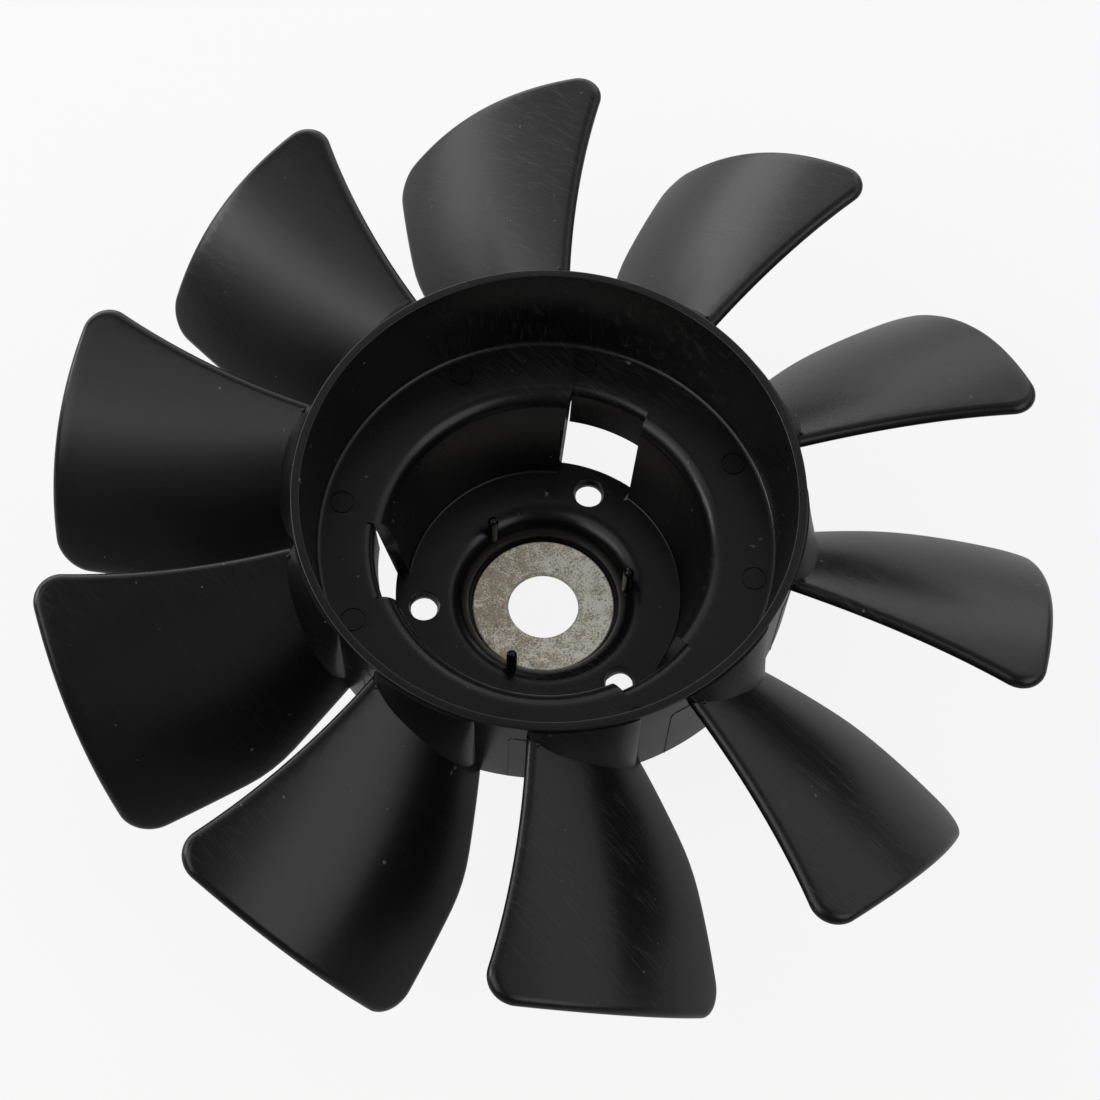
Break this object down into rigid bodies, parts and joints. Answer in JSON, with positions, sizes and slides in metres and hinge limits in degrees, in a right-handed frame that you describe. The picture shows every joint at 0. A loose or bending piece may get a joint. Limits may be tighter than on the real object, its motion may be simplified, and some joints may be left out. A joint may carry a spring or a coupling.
{
  "type": "axial fan impeller",
  "caption": "Moulded axial fan impeller with wide pitched blades on a cup-shaped hub, a steel washer set in its centre and cooling windows in the cup wall.",
  "frame": {"origin": "on the fan's axis, in the plane of the hub's rear seat, which is the lowest point of the part", "axes": "+Z along the fan's axis, out of the cup's open mouth; +X is the picture's right"},
  "size_m": [0.1782, 0.178, 0.052],
  "materials": {
    "moulding_plastic": "satin black glass-filled nylon, lightly scuffed",
    "washer_steel": "dull plated steel, mottled"
  },
  "bodies": {
    "root": {"fan_moulding": "moulding_plastic", "hub_washer": "washer_steel"}
  },
  "joints": []
}
